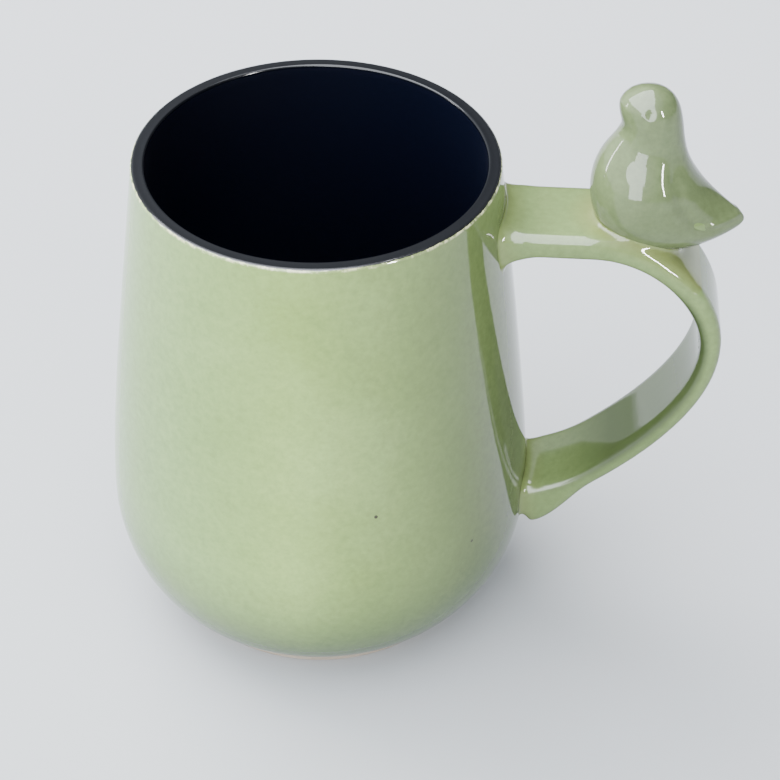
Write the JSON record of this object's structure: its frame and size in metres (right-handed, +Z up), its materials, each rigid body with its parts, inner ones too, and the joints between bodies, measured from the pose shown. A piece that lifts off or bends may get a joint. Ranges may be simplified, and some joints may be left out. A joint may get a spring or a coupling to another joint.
{
  "type": "drinking mug with a bird figure on its handle",
  "caption": "Glazed stoneware mug that swells towards its foot, dark inside, with a strap handle and a small bird figure seated on top of the handle.",
  "frame": {"origin": "on the table, below the middle of the whole object's box", "axes": "+Z up along the cup's axis, +X from the cup out along the handle and the bird's tail, +Y to the left of someone looking along +X"},
  "size_m": [0.135, 0.0936, 0.1336],
  "materials": {
    "bare_stoneware": "unglazed, fine grained, matte",
    "dark_glaze": "blue-black gloss glaze",
    "green_glaze": "pale grey-green gloss glaze with a faint sheen",
    "glazed_slip": "the green glaze over clay slip, slightly warmer where it is thin"
  },
  "bodies": {
    "root": {"mug_body": "bare_stoneware", "liner_glaze": "dark_glaze", "outer_glaze": "green_glaze", "handle": "green_glaze", "upper_handle_joint": "glazed_slip", "lower_handle_joint": "glazed_slip", "bird": "green_glaze", "bird_joint": "glazed_slip"}
  },
  "joints": []
}
